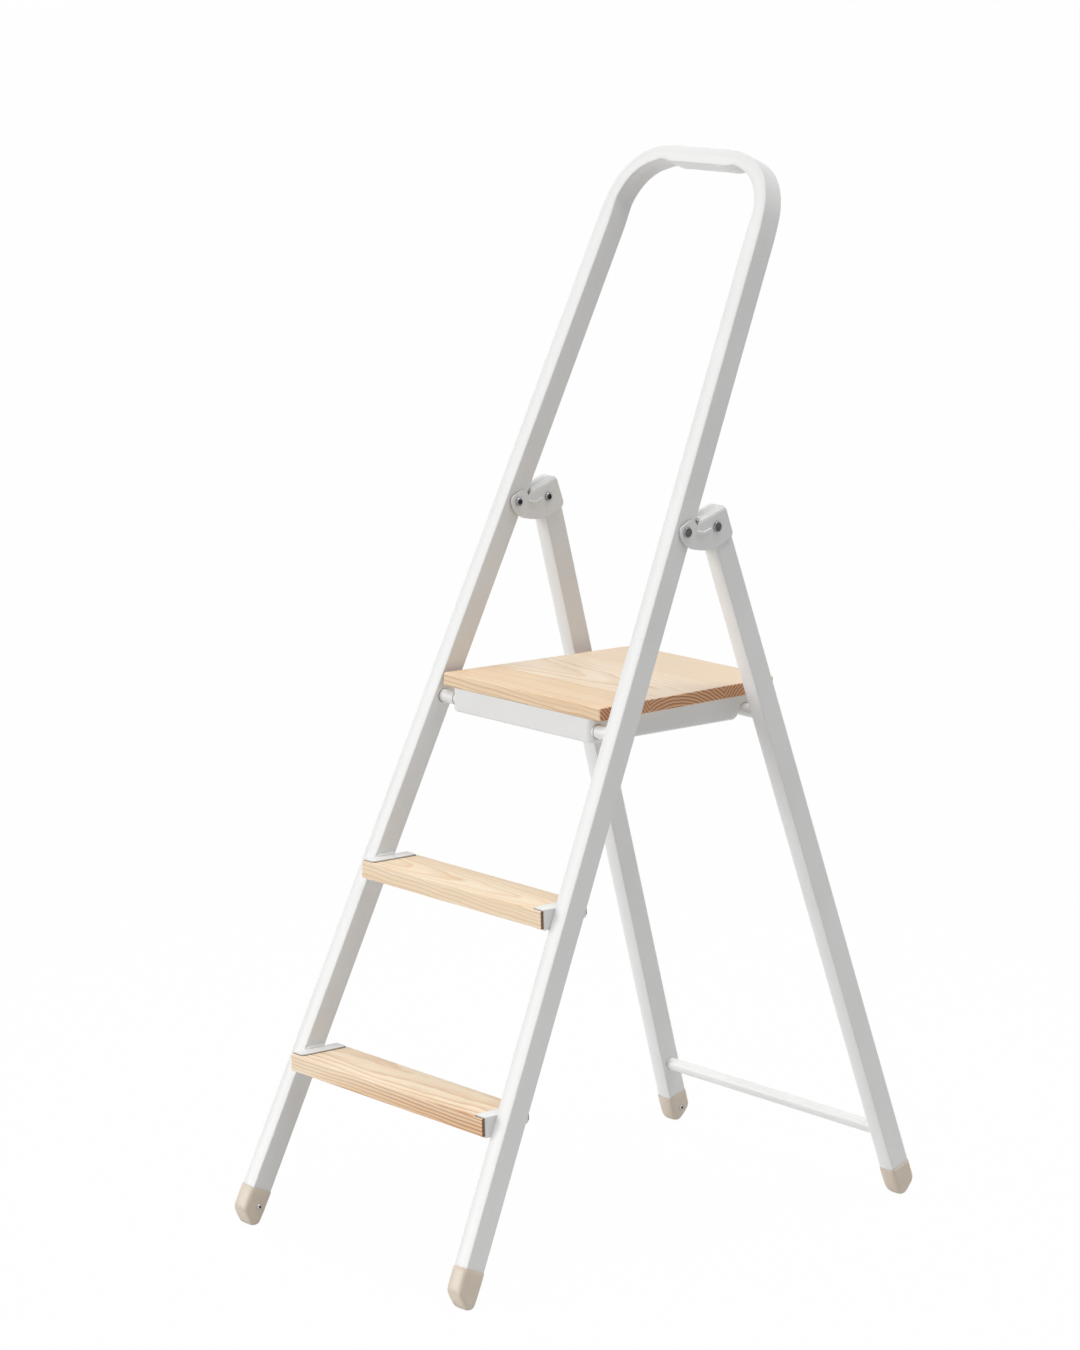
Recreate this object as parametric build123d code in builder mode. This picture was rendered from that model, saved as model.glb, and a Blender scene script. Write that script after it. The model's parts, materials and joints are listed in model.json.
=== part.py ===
# Folding stepladder: bent tube front frame, two rear legs, two wooden treads
# and a wooden platform that hooks onto a bar between the rear legs.
# Millimetres, Z up, front of the ladder towards -Y, origin on the floor.
import os
from math import atan, cos, degrees, radians, sin, tan

from build123d import *

os.makedirs("parts", exist_ok=True)

# Tube section shared by the front frame and the rear legs
tube_width = 24.5
tube_side = 29.2
tube_crown = 2.2
tube_corner = 1.2
tube_wall = 1.5

# Stance: distance between the centre lines of the front and rear legs on the floor,
# and how far their middle lies in front of the origin
leg_spread = 763.4
stance_shift = 3.5

# Front frame
front_lean = 23.67
front_half_width = 220.4
front_taper = 0.0558
front_tube_end = 22.0
frame_top = 1493.0
bend_radius = 75.0

# Rear legs
rear_taper = 0.0611
rear_tube_end = 17.0
leg_bolt_inset = 7.9
leg_top_margin = 13.0

# Fold hinge
hinge_z = 921.0
hinge_shift = 2.8
plate_gap = 0.35
plate_thickness = 2.0
lobe_reach = 28.0
barrel_radius = 4.5
barrel_bore = 3.1
shank_radius = 3.0
running_clearance = 0.06
disc_radius = 6.6
disc_height = 1.3
head_radius = 5.6
head_height = 2.0
socket_radius = 3.0
leg_bolt_dy = 50.4
leg_bolt_dz = 2.1

# Hinge bracket, drawn from the fold axis: y backwards, z up
crown_front = (25.2, 14.9)
crown_rear = (64.5, 27.4)
bracket_heel = (78.9, -11.8)
bracket_heel_round = 7.0
bracket_crown = 5.5
groove_length = 34.0
groove_width = 2.2
groove_depth = 0.5
groove_spread = 6.4
ridge_points = ((16.5, -0.4), (26.9, -3.2), (39.1, 1.2))
ridge_width = 2.4
ridge_height = 1.1

# Round bars
bar_radius = 8.7
bar_wall = 1.5
bar_hole_gap = 0.6
pivot_bar_z = 674.0
pivot_bar_shift = 0.3
hook_bar_z = 670.6
crossbar_z = 88.0
seat_gap = 0.05

# Treads
tread_heights = (225.5, 469.0)
tread_names = ("lower", "upper")
tread_depth = 77.2
tread_nose = 21.9
tread_thickness = 22.5
tread_edge = 1.2
tread_relief_depth = 16.0
tread_relief_height = 7.0
sheet = 1.6
flange_reach = 20.0
flange_corner = 5.0
bracket_front_inset = 4.0
bracket_rear_inset = 3.0
wood_gap = 0.15
wood_screw_radius = 2.0
wood_screw_length = 14.0
wood_screw_head = 4.0
wood_screw_head_height = 2.0

# Platform
platform_top = 707.5
board_thickness = 17.0
board_depth = 318.4
board_nose = 11.4
board_half_width = 155.9
board_taper = 0.041
board_front_corner = 4.0
board_rear_corner = 20.0
board_edge = 1.2
pan_half_width = 139.2
pan_front_inset = 0.5
pan_bottom_drop = 15.2
pan_sheet = 1.5
pan_corner = 11.0
pan_lower_edge = 4.0
pan_lip = 9.0
pan_rear_overhang = 19.5
hook_radius = 9.5
hook_flare = 26.0
hook_step = 20.0
hook_step_height = 3.5
platform_screw_length = 11.0

# Feet
foot_wall = 1.4
foot_fit = 0.15
front_foot_height = 52.0
rear_foot_height = 42.5
foot_corner = 4.0
sole_round = 5.0
sole_side_round = 7.0
front_sole_start = 4.5
front_sole_end = 12.5
front_toe_rise = 25.0
front_heel_rise = 9.5
rear_sole_start = -12.0
rear_sole_end = -5.5
rear_toe_rise = 5.0
rear_heel_rise = 20.6
front_screw_height = 30.0
front_screw_shift = 3.8
rear_screw_height = 21.0
rear_screw_shift = 0.6
foot_screw_radius = 1.9
foot_screw_head = 3.3
foot_screw_head_height = 1.2
foot_screw_recess = 0.6
foot_screw_length = 6.0

# Directions along and across the two leaning frames; the rear legs lean as the stance asks
front_up = Vector(0, sin(radians(front_lean)), cos(radians(front_lean)))
front_back = Vector(0, cos(radians(front_lean)), -sin(radians(front_lean)))
front_y = -leg_spread / 2 - stance_shift
rear_y = leg_spread / 2 - stance_shift
hinge_y = front_y + hinge_z * tan(radians(front_lean)) + hinge_shift
leg_bolt_y = hinge_y + leg_bolt_dy
leg_bolt_z = hinge_z + leg_bolt_dz
rear_lean = degrees(atan((rear_y - leg_bolt_y - leg_bolt_inset) / leg_bolt_z))
rear_up = Vector(0, -sin(radians(rear_lean)), cos(radians(rear_lean)))
rear_back = Vector(0, cos(radians(rear_lean)), sin(radians(rear_lean)))
front_origin = Vector(0, front_y, 0)
rear_origin = Vector(0, rear_y, 0)


class Leg:
    """Centre line, width direction and depth direction of one straight leg."""

    def __init__(self, origin, up, back, half_width, taper, side):
        slope = atan(taper)
        self.side = side
        self.back = back
        self.across = Vector(1, 0, 0) * cos(slope) + up * (side * sin(slope))
        self.along = up * cos(slope) - Vector(1, 0, 0) * (side * sin(slope))
        self.base = origin + Vector(side * half_width, 0, 0)
        self.step = 1 / cos(slope)

    def point(self, height, shift=0.0, out=0.0):
        spot = self.base + self.along * (height * self.step)
        return spot + self.back * shift + self.across * (self.side * out)

    def section(self, height):
        return Plane(origin=self.point(height), x_dir=self.across, z_dir=self.along)

    def inward(self):
        return self.across * (-self.side)

    def inner_face(self, extra=0.0):
        spot = self.point(0, out=-tube_width / 2 - extra)
        return Plane(origin=spot, x_dir=self.along, z_dir=self.inward())

    def outer_wall(self):
        spot = self.point(0, out=tube_width / 2 - tube_wall - seat_gap)
        return Plane(origin=spot, x_dir=self.along, z_dir=self.inward())

    def across_plane(self, height, shift, out):
        return Plane(origin=self.point(height, shift, out), x_dir=self.along, z_dir=self.inward())


def front_centre_y(z):
    return front_y + z * tan(radians(front_lean))


def rear_centre_y(z):
    return rear_y - z * tan(radians(rear_lean))


# Places shared by several pieces; at the hinge the rear leg stands right behind the front rail
pivot_bar_y = front_centre_y(pivot_bar_z) + pivot_bar_shift
hook_bar_y = rear_centre_y(hook_bar_z)
crossbar_y = rear_centre_y(crossbar_z)
hinge_height = hinge_z / cos(radians(front_lean))
pivot_bar_height = pivot_bar_z / cos(radians(front_lean))
leg_bolt_height = leg_bolt_z / cos(radians(rear_lean))
rear_leg_top = leg_bolt_height + leg_top_margin
hinge_rail_x = front_half_width - front_taper * hinge_height
rear_half_width = hinge_rail_x + rear_taper * leg_bolt_height
hinge_spread = tube_width / 2 + max(front_taper, rear_taper) * lobe_reach + plate_gap
plate_in = hinge_rail_x - hinge_spread
plate_out = hinge_rail_x + hinge_spread

front_legs = {}
rear_legs = {}
for side in (-1, 1):
    front_legs[side] = Leg(front_origin, front_up, front_back, front_half_width, front_taper, side)
    rear_legs[side] = Leg(rear_origin, rear_up, rear_back, rear_half_width, rear_taper, side)
side_names = {-1: "left", 1: "right"}


def side_plane(x, y=0.0, z=0.0):
    return Plane(origin=(x, y, z), x_dir=(0, 1, 0), z_dir=(1, 0, 0))


def tube_outline(grow=0.0, mode=Mode.ADD):
    half_width = tube_width / 2 + grow
    half_side = tube_side / 2 + grow
    with BuildLine() as outline:
        Line((-half_width, -half_side), (-half_width, half_side))
        ThreePointArc((-half_width, half_side), (0, half_side + tube_crown), (half_width, half_side))
        Line((half_width, half_side), (half_width, -half_side))
        ThreePointArc((half_width, -half_side), (0, -half_side - tube_crown), (-half_width, -half_side))
    make_face(outline.edges(), mode=mode)


def save(builder, name):
    builder.part.label = name
    export_step(builder.part, "parts/" + name + ".step")


# Front frame: one tube bent into an inverted U
frame_plane = Plane(origin=front_origin, x_dir=(1, 0, 0), z_dir=front_back * -1)
foot_end = front_half_width - front_taper * front_tube_end
bend_end = front_half_width - front_taper * frame_top

with BuildPart() as front_frame_tube:
    with BuildLine(frame_plane) as frame_path:
        FilletPolyline(
            (-foot_end, front_tube_end),
            (-bend_end, frame_top),
            (bend_end, frame_top),
            (foot_end, front_tube_end),
            radius=bend_radius,
        )
    with BuildSketch(front_legs[-1].section(front_tube_end)):
        tube_outline()
        fillet(vertices(), radius=tube_corner)
    sweep(path=frame_path.wires()[0])
    with BuildSketch(front_legs[-1].section(front_tube_end)):
        tube_outline(grow=-tube_wall)
    sweep(path=frame_path.wires()[0], mode=Mode.SUBTRACT)
    with BuildSketch(side_plane(0, hinge_y, hinge_z)):
        Circle(barrel_radius + running_clearance)
    extrude(amount=front_half_width, both=True, mode=Mode.SUBTRACT)
    with BuildSketch(side_plane(0, pivot_bar_y, pivot_bar_z)):
        Circle(bar_radius + bar_hole_gap)
    extrude(amount=front_half_width - front_taper * pivot_bar_height, both=True, mode=Mode.SUBTRACT)
    for leg in front_legs.values():
        with BuildSketch(leg.across_plane(front_screw_height, front_screw_shift, 0)):
            Circle(foot_screw_radius + seat_gap)
        extrude(amount=tube_width, mode=Mode.SUBTRACT)
save(front_frame_tube, "front_frame_tube")

# Rear legs: straight tubes with holes for the hinge bolt and the foot screw
for side, leg in rear_legs.items():
    with BuildPart() as rear_leg:
        with BuildSketch(leg.section(rear_tube_end)):
            tube_outline()
            fillet(vertices(), radius=tube_corner)
            tube_outline(grow=-tube_wall, mode=Mode.SUBTRACT)
        extrude(amount=(rear_leg_top - rear_tube_end) * leg.step)
        with BuildSketch(side_plane(0, leg_bolt_y, leg_bolt_z)):
            Circle(barrel_radius + running_clearance)
        extrude(amount=rear_half_width, both=True, mode=Mode.SUBTRACT)
        with BuildSketch(leg.across_plane(rear_screw_height, rear_screw_shift, 0)):
            Circle(foot_screw_radius + seat_gap)
        extrude(amount=tube_width, mode=Mode.SUBTRACT)
    save(rear_leg, "rear_leg_" + side_names[side])


def cross_rod(y, z, left_end, right_end):
    with BuildSketch(side_plane(0, y, z)) as round_end:
        Circle(bar_radius)
        Circle(bar_radius - bar_wall, mode=Mode.SUBTRACT)
    extrude(round_end.sketch, amount=rear_half_width, both=True)
    split(bisect_by=left_end, keep=Keep.TOP)
    split(bisect_by=right_end, keep=Keep.TOP)


# Round bars: the platform pivot in the front rails, two bars between the rear legs
with BuildPart() as platform_pivot_bar:
    cross_rod(pivot_bar_y, pivot_bar_z, front_legs[-1].outer_wall(), front_legs[1].outer_wall())
save(platform_pivot_bar, "platform_pivot_bar")

with BuildPart() as hook_bar:
    cross_rod(hook_bar_y, hook_bar_z, rear_legs[-1].inner_face(seat_gap), rear_legs[1].inner_face(seat_gap))
save(hook_bar, "hook_bar")

with BuildPart() as rear_crossbar:
    cross_rod(crossbar_y, crossbar_z, rear_legs[-1].inner_face(seat_gap), rear_legs[1].inner_face(seat_gap))
save(rear_crossbar, "rear_crossbar")


# Hinge brackets: each one sheet folded over the rear leg's top, with a rounded, grooved crown
# and two cheeks that reach forward past the front rail
crown_slope = (crown_rear[1] - crown_front[1]) / (crown_rear[0] - crown_front[0])
crown_y = (crown_front[0] + crown_rear[0]) / 2
crown_z = (crown_front[1] + crown_rear[1]) / 2


def roof_z(y):
    return crown_front[1] + (y - crown_front[0]) * crown_slope - plate_thickness / cos(atan(crown_slope))


def behind_rail(along):
    spot = front_back * (tube_side / 2 + tube_crown + 2 * plate_gap) + front_up * along
    return spot.Y - hinge_shift, spot.Z


def bracket_side(shape):
    with BuildLine() as outline:
        Spline(
            (13.0, 12.6),
            (6.2, 14.6),
            (-2.0, 11.2),
            (-10.0, 6.4),
            (-11.3, -1.0),
            (-8.2, -9.0),
            (1.0, -18.6),
            (15.0, -23.6),
        )
        Spline((15.0, -23.6), (32.0, -26.0), (50.0, -24.0), tangents=((14, -3.4), (17, 7.2)))
        Polyline((50.0, -24.0), bracket_heel, crown_rear, crown_front, (18.3, 5.9), (13.0, 12.6))
    make_face(outline.edges())
    fillet(shape.vertices().sort_by_distance(bracket_heel)[0], radius=bracket_heel_round)


for side in (-1, 1):
    with BuildPart() as bracket_room:
        with BuildSketch(side_plane(side * plate_in, hinge_y, hinge_z)):
            Polygon((-40, -50), (110, -50), (110, roof_z(110)), (-40, roof_z(-40)), align=None)
        extrude(amount=side * (plate_out - plate_in))
        roof_middle = hinge_z + roof_z(35)
        roof_edges = edges().filter_by_position(Axis.Z, roof_middle - 1, roof_middle + 1)
        fillet(roof_edges, radius=bracket_crown - plate_thickness)
        with BuildSketch(side_plane(side * plate_in, hinge_y, hinge_z)):
            Polygon((-40, -50), behind_rail(-50), behind_rail(60), (-40, 50), align=None)
        extrude(amount=side * (plate_out - plate_in))
    with BuildPart() as hinge_bracket:
        with BuildSketch(side_plane(side * (plate_in - plate_thickness), hinge_y, hinge_z)) as cheek:
            bracket_side(cheek)
        extrude(amount=side * (plate_out - plate_in + 2 * plate_thickness))
        crown_lines = edges().filter_by(GeomType.LINE)
        fillet(
            crown_lines.filter_by_position(Axis.Z, hinge_z + crown_z - 1, hinge_z + crown_z + 1),
            radius=bracket_crown,
        )
        add(bracket_room.part, mode=Mode.SUBTRACT)
        crown_top = Plane(
            origin=(side * hinge_rail_x, hinge_y + crown_y, hinge_z + crown_z),
            x_dir=(0, 1, crown_slope),
            z_dir=(0, -crown_slope, 1),
        )
        with BuildSketch(crown_top):
            with GridLocations(0, groove_spread, 1, 2):
                Rectangle(groove_length, groove_width)
        extrude(amount=-groove_depth, mode=Mode.SUBTRACT)
        for out, grow in ((plate_out + plate_thickness, 1), (plate_in - plate_thickness, -1)):
            with BuildSketch(side_plane(side * out, hinge_y, hinge_z)):
                with BuildLine():
                    Polyline(*ridge_points)
                    offset(amount=ridge_width / 2, side=Side.BOTH)
                make_face()
            extrude(amount=side * grow * ridge_height)
        for y, z in ((hinge_y, hinge_z), (leg_bolt_y, leg_bolt_z)):
            with BuildSketch(side_plane(0, y, z)):
                Circle(barrel_radius + running_clearance)
            extrude(amount=side * front_half_width, mode=Mode.SUBTRACT)
    save(hinge_bracket, "hinge_bracket_" + side_names[side])


# Hinge fastenings: barrel nuts with flat discs outside, socket screws inside
def barrel_nuts(y, z):
    for side in (-1, 1):
        outside = side * (plate_out + plate_thickness)
        inside = side * (plate_in - plate_thickness + 2 * seat_gap)
        with BuildSketch(side_plane(outside, y, z)) as disc:
            Circle(disc_radius)
        extrude(disc.sketch, amount=side * disc_height)
        with BuildSketch(side_plane(inside, y, z)) as barrel:
            Circle(barrel_radius)
            Circle(barrel_bore, mode=Mode.SUBTRACT)
        extrude(barrel.sketch, amount=outside - inside)


def socket_screws(y, z):
    for side in (-1, 1):
        seat = side * (plate_in - plate_thickness)
        with BuildSketch(side_plane(seat, y, z)) as head:
            Circle(head_radius)
        extrude(head.sketch, amount=-side * head_height)
        with BuildSketch(side_plane(seat - side * head_height, y, z)) as socket:
            RegularPolygon(socket_radius, 6)
        extrude(socket.sketch, amount=side * 0.75 * head_height, mode=Mode.SUBTRACT)
        with BuildSketch(side_plane(seat, y, z)) as shank:
            Circle(shank_radius)
        extrude(shank.sketch, amount=side * (plate_out - plate_in) * 0.8)


with BuildPart() as pivot_barrel_nuts:
    barrel_nuts(hinge_y, hinge_z)
save(pivot_barrel_nuts, "pivot_barrel_nuts")

with BuildPart() as pivot_screws:
    socket_screws(hinge_y, hinge_z)
save(pivot_screws, "pivot_screws")

with BuildPart() as leg_barrel_nuts:
    barrel_nuts(leg_bolt_y, leg_bolt_z)
save(leg_barrel_nuts, "leg_barrel_nuts")

with BuildPart() as leg_screws:
    socket_screws(leg_bolt_y, leg_bolt_z)
save(leg_screws, "leg_screws")


# Feet: caps pushed over the tube ends, each held by a screw from the inside; the sole is rounded
# and the side that points away from the ladder is cut back
profile_top = 2 * front_foot_height


def foot_body(leg, height, tube_end, profile, screw_height, screw_shift):
    with BuildSketch(leg.section(-60)) as outside:
        tube_outline(grow=foot_wall)
        fillet(outside.vertices(), radius=foot_corner)
    extrude(outside.sketch, amount=(height + 60) * leg.step)
    with BuildSketch(leg.section(tube_end)) as inside:
        tube_outline(grow=foot_fit)
        fillet(inside.vertices(), radius=tube_corner)
    extrude(inside.sketch, amount=height * leg.step, mode=Mode.SUBTRACT)
    with BuildSketch(side_plane(0)) as shape:
        Polygon(*profile, align=None)
        fillet(shape.vertices().sort_by(Axis.Y)[:4], radius=sole_round)
    extrude(shape.sketch, amount=2 * rear_half_width, both=True, mode=Mode.INTERSECT)
    reach = tube_width / 2 + foot_wall
    low = leg.point(0).X
    high = leg.point(profile_top).X
    outline = ((low - reach, 0), (low + reach, 0), (high + reach, profile_top), (high - reach, profile_top))
    with BuildSketch(Plane(origin=(0, 0, 0), x_dir=(1, 0, 0), z_dir=(0, -1, 0))) as front_view:
        Polygon(*outline, align=None)
        fillet(front_view.vertices().sort_by(Axis.Y)[:2], radius=sole_side_round)
    extrude(front_view.sketch, amount=leg_spread, both=True, mode=Mode.INTERSECT)
    face = leg.across_plane(screw_height, screw_shift, -tube_width / 2 - foot_wall)
    with BuildSketch(face) as hole:
        Circle(foot_screw_radius + seat_gap)
    extrude(hole.sketch, amount=-foot_wall - 1, mode=Mode.SUBTRACT)
    with BuildSketch(face) as recess:
        Circle(foot_screw_head + 0.3)
    extrude(recess.sketch, amount=-foot_screw_recess, mode=Mode.SUBTRACT)


def foot_profile(centre, lean, sole_start, sole_end, toe_rise, heel_rise):
    reach = (tube_side / 2 + tube_crown + foot_wall) / cos(radians(lean))
    slope = tan(radians(lean))
    return (
        (centre - reach + toe_rise * slope, toe_rise),
        (centre + sole_start, 0),
        (centre + sole_end, 0),
        (centre + reach + heel_rise * slope, heel_rise),
        (centre + reach + profile_top * slope, profile_top),
        (centre - reach + profile_top * slope, profile_top),
    )


def foot_screw(leg, screw_height, screw_shift):
    seat = -tube_width / 2 - foot_wall + foot_screw_recess
    face = leg.across_plane(screw_height, screw_shift, seat)
    with BuildSketch(face) as head:
        Circle(foot_screw_head)
    extrude(head.sketch, amount=foot_screw_head_height)
    with BuildSketch(face) as shank:
        Circle(foot_screw_radius)
    extrude(shank.sketch, amount=-foot_screw_length)


front_sole = foot_profile(
    front_y, front_lean, front_sole_start, front_sole_end, front_toe_rise, front_heel_rise
)
rear_sole = foot_profile(
    rear_y, -rear_lean, rear_sole_start, rear_sole_end, rear_toe_rise, rear_heel_rise
)

for side, leg in front_legs.items():
    with BuildPart() as front_foot:
        foot_body(leg, front_foot_height, front_tube_end, front_sole, front_screw_height, front_screw_shift)
    save(front_foot, "front_foot_" + side_names[side])

for side, leg in rear_legs.items():
    with BuildPart() as rear_foot:
        foot_body(leg, rear_foot_height, rear_tube_end, rear_sole, rear_screw_height, rear_screw_shift)
    save(rear_foot, "rear_foot_" + side_names[side])

with BuildPart() as front_foot_screws:
    for leg in front_legs.values():
        foot_screw(leg, front_screw_height, front_screw_shift)
save(front_foot_screws, "front_foot_screws")

with BuildPart() as rear_foot_screws:
    for leg in rear_legs.values():
        foot_screw(leg, rear_screw_height, rear_screw_shift)
save(rear_foot_screws, "rear_foot_screws")


# Treads: a board between two folded end brackets fixed to the rails' inner faces
def rail_inner_x(leg, y, z, inset):
    face = leg.inner_face()
    rest = inset - face.z_dir.Y * (y - face.origin.Y) - face.z_dir.Z * (z - face.origin.Z)
    return face.origin.X + rest / face.z_dir.X


def tread_front(top):
    return front_centre_y(top) - tube_side / 2 / cos(radians(front_lean)) - tread_nose


def tread_screw_spot(leg, top):
    y = tread_front(top) + 0.45 * tread_depth
    under = top - tread_thickness
    return rail_inner_x(leg, y, under, sheet + 0.55 * flange_reach), y, under


def wood_screw(x, y, z, seat, length):
    with BuildSketch(Plane(origin=(x, y, z - seat))) as shank:
        Circle(wood_screw_radius)
    extrude(shank.sketch, amount=seat + length)
    with BuildSketch(Plane(origin=(x, y, z - seat))) as head:
        Circle(wood_screw_head)
    extrude(head.sketch, amount=-wood_screw_head_height)


def screw_hole(x, y, z, reach):
    with BuildSketch(Plane(origin=(x, y, z))) as hole:
        Circle(wood_screw_radius + seat_gap)
    extrude(hole.sketch, amount=reach, mode=Mode.SUBTRACT)


def tread_bracket(leg, top):
    start = tread_front(top) + bracket_front_inset
    end = tread_front(top) + tread_depth - bracket_rear_inset
    relief = end - tread_relief_depth
    low = top - tread_thickness - wood_gap
    high = top + wood_gap
    plate = (
        (start, low - sheet),
        (relief, low - sheet),
        (end, low - sheet + tread_relief_height),
        (end, high + sheet),
        (start, high + sheet),
    )
    with BuildSketch(side_plane(0)) as shape:
        Polygon(*plate, align=None)
        fillet(shape.vertices().sort_by(Axis.X)[-2:], radius=flange_corner / 2)
    extrude(shape.sketch, amount=leg.side * 2 * front_half_width)
    split(bisect_by=leg.inner_face(seat_gap), keep=Keep.TOP)
    split(bisect_by=leg.inner_face(seat_gap + sheet), keep=Keep.BOTTOM)
    for z, finish in ((high, end), (low - sheet, relief)):
        corners = []
        for y, inset in ((start, 0.5), (start, flange_reach), (finish, flange_reach), (finish, 0.5)):
            corners.append((rail_inner_x(leg, y, z, inset), y))
        with BuildSketch(Plane(origin=(0, 0, z))) as flange:
            Polygon(*corners, align=None)
            fillet(flange.vertices().sort_by(Axis.X, reverse=leg.side < 0)[:2], radius=flange_corner)
        extrude(flange.sketch, amount=sheet)


for name, top in zip(tread_names, tread_heights):
    start = tread_front(top)
    end = start + tread_depth
    low = top - tread_thickness
    with BuildPart() as tread_board:
        with BuildSketch(side_plane(0)) as profile:
            Polygon(
                (start, low),
                (end - tread_relief_depth, low),
                (end, low + tread_relief_height),
                (end, top),
                (start, top),
                align=None,
            )
            fillet(profile.vertices(), radius=tread_edge)
        extrude(amount=2 * front_half_width, both=True)
        for leg in front_legs.values():
            split(bisect_by=leg.inner_face(seat_gap + sheet + wood_gap), keep=Keep.TOP)
        for leg in front_legs.values():
            screw_hole(*tread_screw_spot(leg, top), wood_screw_length + seat_gap)
    save(tread_board, name + "_tread_board")
    for side, leg in front_legs.items():
        with BuildPart() as end_bracket:
            tread_bracket(leg, top)
            x, y, z = tread_screw_spot(leg, top)
            screw_hole(x, y, z - 3 * sheet, 4 * sheet)
        save(end_bracket, name + "_tread_bracket_" + side_names[side])

with BuildPart() as tread_screws:
    for top in tread_heights:
        for leg in front_legs.values():
            wood_screw(*tread_screw_spot(leg, top), sheet + wood_gap, wood_screw_length)
save(tread_screws, "tread_screws")

# Platform: a tapered board on a pressed pan that turns on the pivot bar and hooks onto the rear bar
board_front = pivot_bar_y - board_nose
board_rear = board_front + board_depth
board_bottom = platform_top - board_thickness
board_rear_half = board_half_width - board_taper * board_depth
pan_front = board_front + pan_front_inset
pan_rear = hook_bar_y + pan_rear_overhang
pan_bottom = pivot_bar_z - pan_bottom_drop
platform_screw_spots = []
for x in (-0.65 * pan_half_width, 0.65 * pan_half_width):
    for share in (0.25, 0.8):
        platform_screw_spots.append((x, pan_front + share * (pan_rear - pan_front), board_bottom))

with BuildPart() as platform_board:
    with BuildSketch(Plane(origin=(0, 0, board_bottom))) as plan:
        Polygon(
            (-board_half_width, board_front),
            (board_half_width, board_front),
            (board_rear_half, board_rear),
            (-board_rear_half, board_rear),
            align=None,
        )
        fillet(plan.vertices().sort_by(Axis.Y)[-2:], radius=board_rear_corner)
        fillet(plan.vertices().sort_by(Axis.Y)[:2], radius=board_front_corner)
    extrude(amount=board_thickness)
    chamfer(edges().group_by(Axis.Z)[-1] + edges().group_by(Axis.Z)[0], length=board_edge)
    for x, y, z in platform_screw_spots:
        screw_hole(x, y, z, platform_screw_length + seat_gap)
save(platform_board, "platform_board")


def pan_plan(inset):
    width = 2 * (pan_half_width - inset)
    depth = pan_rear - pan_front - 2 * inset
    with Locations((0, (pan_front + pan_rear) / 2)):
        Rectangle(width, depth)


with BuildPart() as platform_pan:
    with BuildSketch(Plane(origin=(0, 0, pan_bottom))) as outer_plan:
        pan_plan(0)
        fillet(outer_plan.vertices(), radius=pan_corner)
    extrude(amount=board_bottom - pan_bottom - seat_gap)
    fillet(edges().group_by(Axis.Z)[0], radius=pan_lower_edge)
    with BuildSketch(Plane(origin=(0, 0, pan_bottom + pan_sheet))) as inner_plan:
        pan_plan(pan_sheet)
        fillet(inner_plan.vertices(), radius=pan_corner - pan_sheet)
    extrude(amount=board_bottom - pan_bottom - 2 * pan_sheet - seat_gap, mode=Mode.SUBTRACT)
    with BuildSketch(Plane(origin=(0, 0, pan_bottom))) as opening:
        pan_plan(pan_lip)
    extrude(amount=2 * pan_sheet, mode=Mode.SUBTRACT)
    with BuildSketch(side_plane(0)) as hook_cut:
        flare = radians(hook_flare)
        low = pan_bottom - 5
        lead_y = hook_bar_y - hook_radius * cos(flare)
        lead_z = hook_bar_z + hook_radius * sin(flare)
        with Locations((hook_bar_y, hook_bar_z)):
            Circle(hook_radius)
        Polygon(
            (lead_y, lead_z),
            (lead_y - (lead_z - low) * tan(flare), low),
            (hook_bar_y + hook_radius, low),
            (hook_bar_y + hook_radius, hook_bar_z),
            align=None,
        )
        Polygon(
            (hook_bar_y - hook_step, low),
            (pan_rear + 5, low),
            (pan_rear + 5, pan_bottom + hook_step_height),
            (hook_bar_y - hook_step + hook_step_height, pan_bottom + hook_step_height),
            align=None,
        )
    extrude(amount=2 * pan_half_width, both=True, mode=Mode.SUBTRACT)
    with BuildSketch(side_plane(0, pivot_bar_y, pivot_bar_z)) as bar_hole:
        Circle(bar_radius + running_clearance)
    extrude(amount=2 * pan_half_width, both=True, mode=Mode.SUBTRACT)
    for x, y, z in platform_screw_spots:
        screw_hole(x, y, z - 3 * pan_sheet, 4 * pan_sheet)
save(platform_pan, "platform_pan")

with BuildPart() as platform_screws:
    for x, y, z in platform_screw_spots:
        wood_screw(x, y, z, pan_sheet + seat_gap, platform_screw_length)
save(platform_screws, "platform_screws")
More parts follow.
